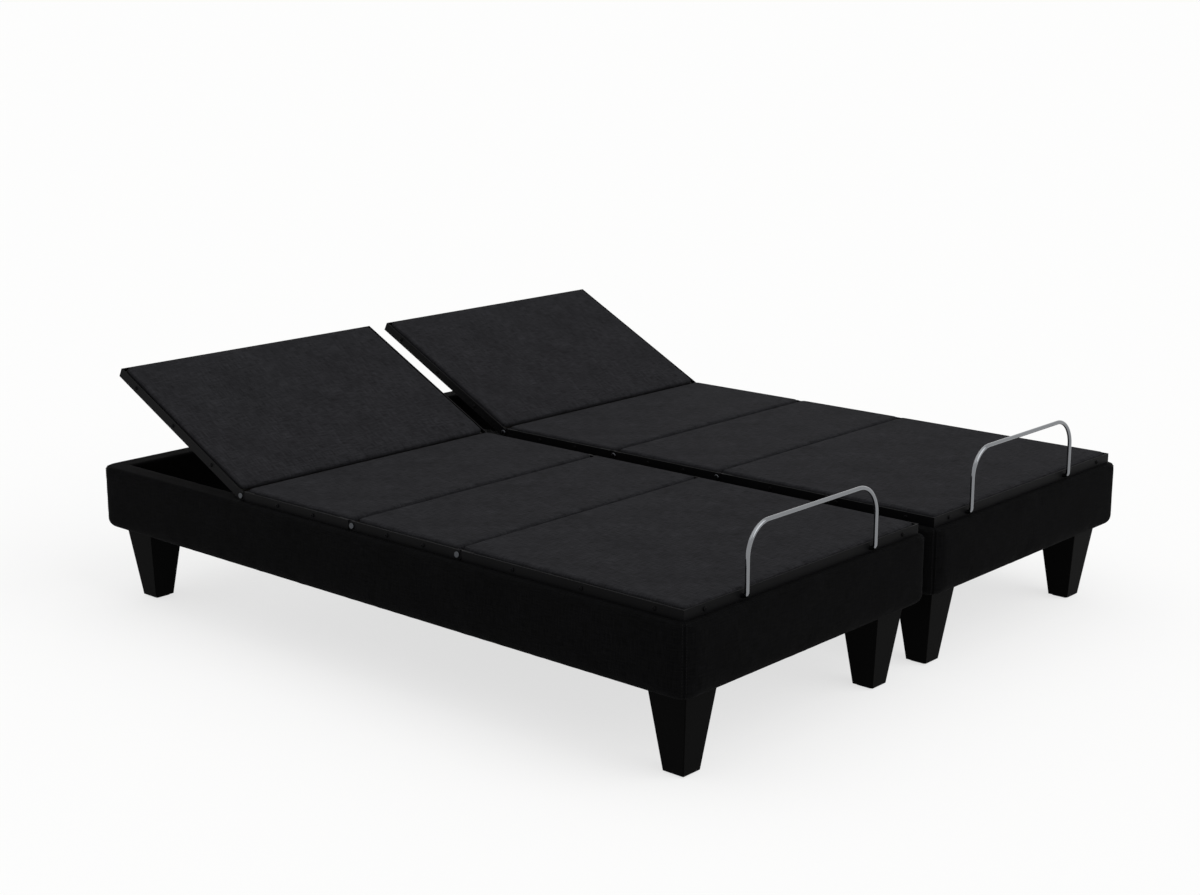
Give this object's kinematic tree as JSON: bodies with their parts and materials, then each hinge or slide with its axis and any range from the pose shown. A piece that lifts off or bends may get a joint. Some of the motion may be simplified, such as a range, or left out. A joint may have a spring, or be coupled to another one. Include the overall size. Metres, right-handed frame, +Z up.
{
  "type": "adjustable bed base",
  "caption": "Adjustable bed base of joined upholstered boxes on tapered legs, with folding deck sections, push-rod drives and foot-end retainer bars.",
  "frame": {"origin": "on the floor under the middle of the pair of boxes", "axes": "+X across the bed to the right seen from the foot end, +Y to the head end, +Z up"},
  "size_m": [1.824, 2, 0.6336],
  "materials": {
    "cover_fabric": "matte",
    "deck_fabric": "matte",
    "rail_wood": "matte",
    "board_wood": "matte",
    "leg_wood": "satin",
    "glide_plastic": "matte",
    "black_steel": "satin",
    "bright_steel": "satin",
    "bar_chrome": "polished",
    "drive_plastic": "matte",
    "control_plastic": "matte"
  },
  "bodies": {
    "base": {"left_box_frame": "rail_wood", "left_box_cover": "cover_fabric", "left_leg_head_left": "leg_wood", "left_leg_head_right": "leg_wood", "left_leg_foot_left": "leg_wood", "left_leg_foot_right": "leg_wood", "left_seat_frame": "black_steel", "left_seat_board": "board_wood", "left_seat_pad": "deck_fabric", "left_seat_hinge_pins": "bright_steel", "left_head_drive": "drive_plastic", "left_leg_drive": "drive_plastic", "right_box_frame": "rail_wood", "right_box_cover": "cover_fabric", "right_leg_head_left": "leg_wood", "right_leg_head_right": "leg_wood", "right_leg_foot_left": "leg_wood", "right_leg_foot_right": "leg_wood", "right_seat_frame": "black_steel", "right_seat_board": "board_wood", "right_seat_pad": "deck_fabric", "right_seat_hinge_pins": "bright_steel", "right_head_drive": "drive_plastic", "right_leg_drive": "drive_plastic", "corner_blocks": "rail_wood", "leg_bolts": "bright_steel", "leg_glides": "glide_plastic", "drive_beams": "black_steel", "drive_mounts": "black_steel", "link_studs": "bright_steel", "control_boxes": "control_plastic", "joining_plates": "black_steel"},
    "left_head": {"left_head_frame": "black_steel", "left_head_board": "board_wood", "left_head_pad": "deck_fabric"},
    "left_head_rod": {"left_head_push_rod": "bright_steel"},
    "left_thigh": {"left_thigh_frame": "black_steel", "left_thigh_board": "board_wood", "left_thigh_pad": "deck_fabric"},
    "left_calf": {"left_calf_frame": "black_steel", "left_calf_board": "board_wood", "left_calf_pad": "deck_fabric", "left_calf_pins": "bright_steel", "left_retainer_bar": "bar_chrome"},
    "left_links": {"left_calf_links": "black_steel"},
    "left_leg_rod": {"left_leg_push_rod": "bright_steel"},
    "right_head": {"right_head_frame": "black_steel", "right_head_board": "board_wood", "right_head_pad": "deck_fabric"},
    "right_head_rod": {"right_head_push_rod": "bright_steel"},
    "right_thigh": {"right_thigh_frame": "black_steel", "right_thigh_board": "board_wood", "right_thigh_pad": "deck_fabric"},
    "right_calf": {"right_calf_frame": "black_steel", "right_calf_board": "board_wood", "right_calf_pad": "deck_fabric", "right_calf_pins": "bright_steel", "right_retainer_bar": "bar_chrome"},
    "right_links": {"right_calf_links": "black_steel"},
    "right_leg_rod": {"right_leg_push_rod": "bright_steel"}
  },
  "joints": [
    {"name": "left_head_lift", "type": "hinge", "parent": "base", "child": "left_head", "pos_m": [-0.462, 0.431, 0.3763], "axis": [1, 0, 0], "range_deg": [-27.1, 32.9]},
    {"name": "left_head_drive_slide", "type": "slide", "parent": "base", "child": "left_head_rod", "axis": [0, 1, 0], "range_m": [-0.0512, 0.0621]},
    {"name": "left_leg_lift", "type": "hinge", "parent": "base", "child": "left_thigh", "pos_m": [-0.462, 0.02, 0.3763], "axis": [-1, 0, 0], "range_deg": [0, 40]},
    {"name": "left_knee", "type": "hinge", "parent": "left_thigh", "child": "left_calf", "pos_m": [-0.462, -0.33, 0.3763], "axis": [-1, 0, 0], "range_deg": [-40, 0]},
    {"name": "left_calf_link", "type": "hinge", "parent": "base", "child": "left_links", "pos_m": [-0.462, -0.2, 0.3163], "axis": [-1, 0, 0], "range_deg": [0, 40]},
    {"name": "left_leg_drive_slide", "type": "slide", "parent": "base", "child": "left_leg_rod", "axis": [0, -1, 0], "range_m": [0, 0.0725]},
    {"name": "right_head_lift", "type": "hinge", "parent": "base", "child": "right_head", "pos_m": [0.462, 0.431, 0.3763], "axis": [1, 0, 0], "range_deg": [-27.1, 32.9]},
    {"name": "right_head_drive_slide", "type": "slide", "parent": "base", "child": "right_head_rod", "axis": [0, 1, 0], "range_m": [-0.0512, 0.0621]},
    {"name": "right_leg_lift", "type": "hinge", "parent": "base", "child": "right_thigh", "pos_m": [0.462, 0.02, 0.3763], "axis": [-1, 0, 0], "range_deg": [0, 40]},
    {"name": "right_knee", "type": "hinge", "parent": "right_thigh", "child": "right_calf", "pos_m": [0.462, -0.33, 0.3763], "axis": [-1, 0, 0], "range_deg": [-40, 0]},
    {"name": "right_calf_link", "type": "hinge", "parent": "base", "child": "right_links", "pos_m": [0.462, -0.2, 0.3163], "axis": [-1, 0, 0], "range_deg": [0, 40]},
    {"name": "right_leg_drive_slide", "type": "slide", "parent": "base", "child": "right_leg_rod", "axis": [0, -1, 0], "range_m": [0, 0.0725]}
  ],
  "couplings": [
    {"joint": "left_head_drive_slide", "follows": "left_head_lift", "m_per_rad": 0.10754},
    {"joint": "left_knee", "follows": "left_leg_lift", "ratio": -1},
    {"joint": "left_calf_link", "follows": "left_leg_lift", "ratio": 1},
    {"joint": "left_leg_drive_slide", "follows": "left_leg_lift", "m_per_rad": 0.10335},
    {"joint": "right_head_drive_slide", "follows": "right_head_lift", "m_per_rad": 0.10754},
    {"joint": "right_knee", "follows": "right_leg_lift", "ratio": -1},
    {"joint": "right_calf_link", "follows": "right_leg_lift", "ratio": 1},
    {"joint": "right_leg_drive_slide", "follows": "right_leg_lift", "m_per_rad": 0.10335}
  ]
}
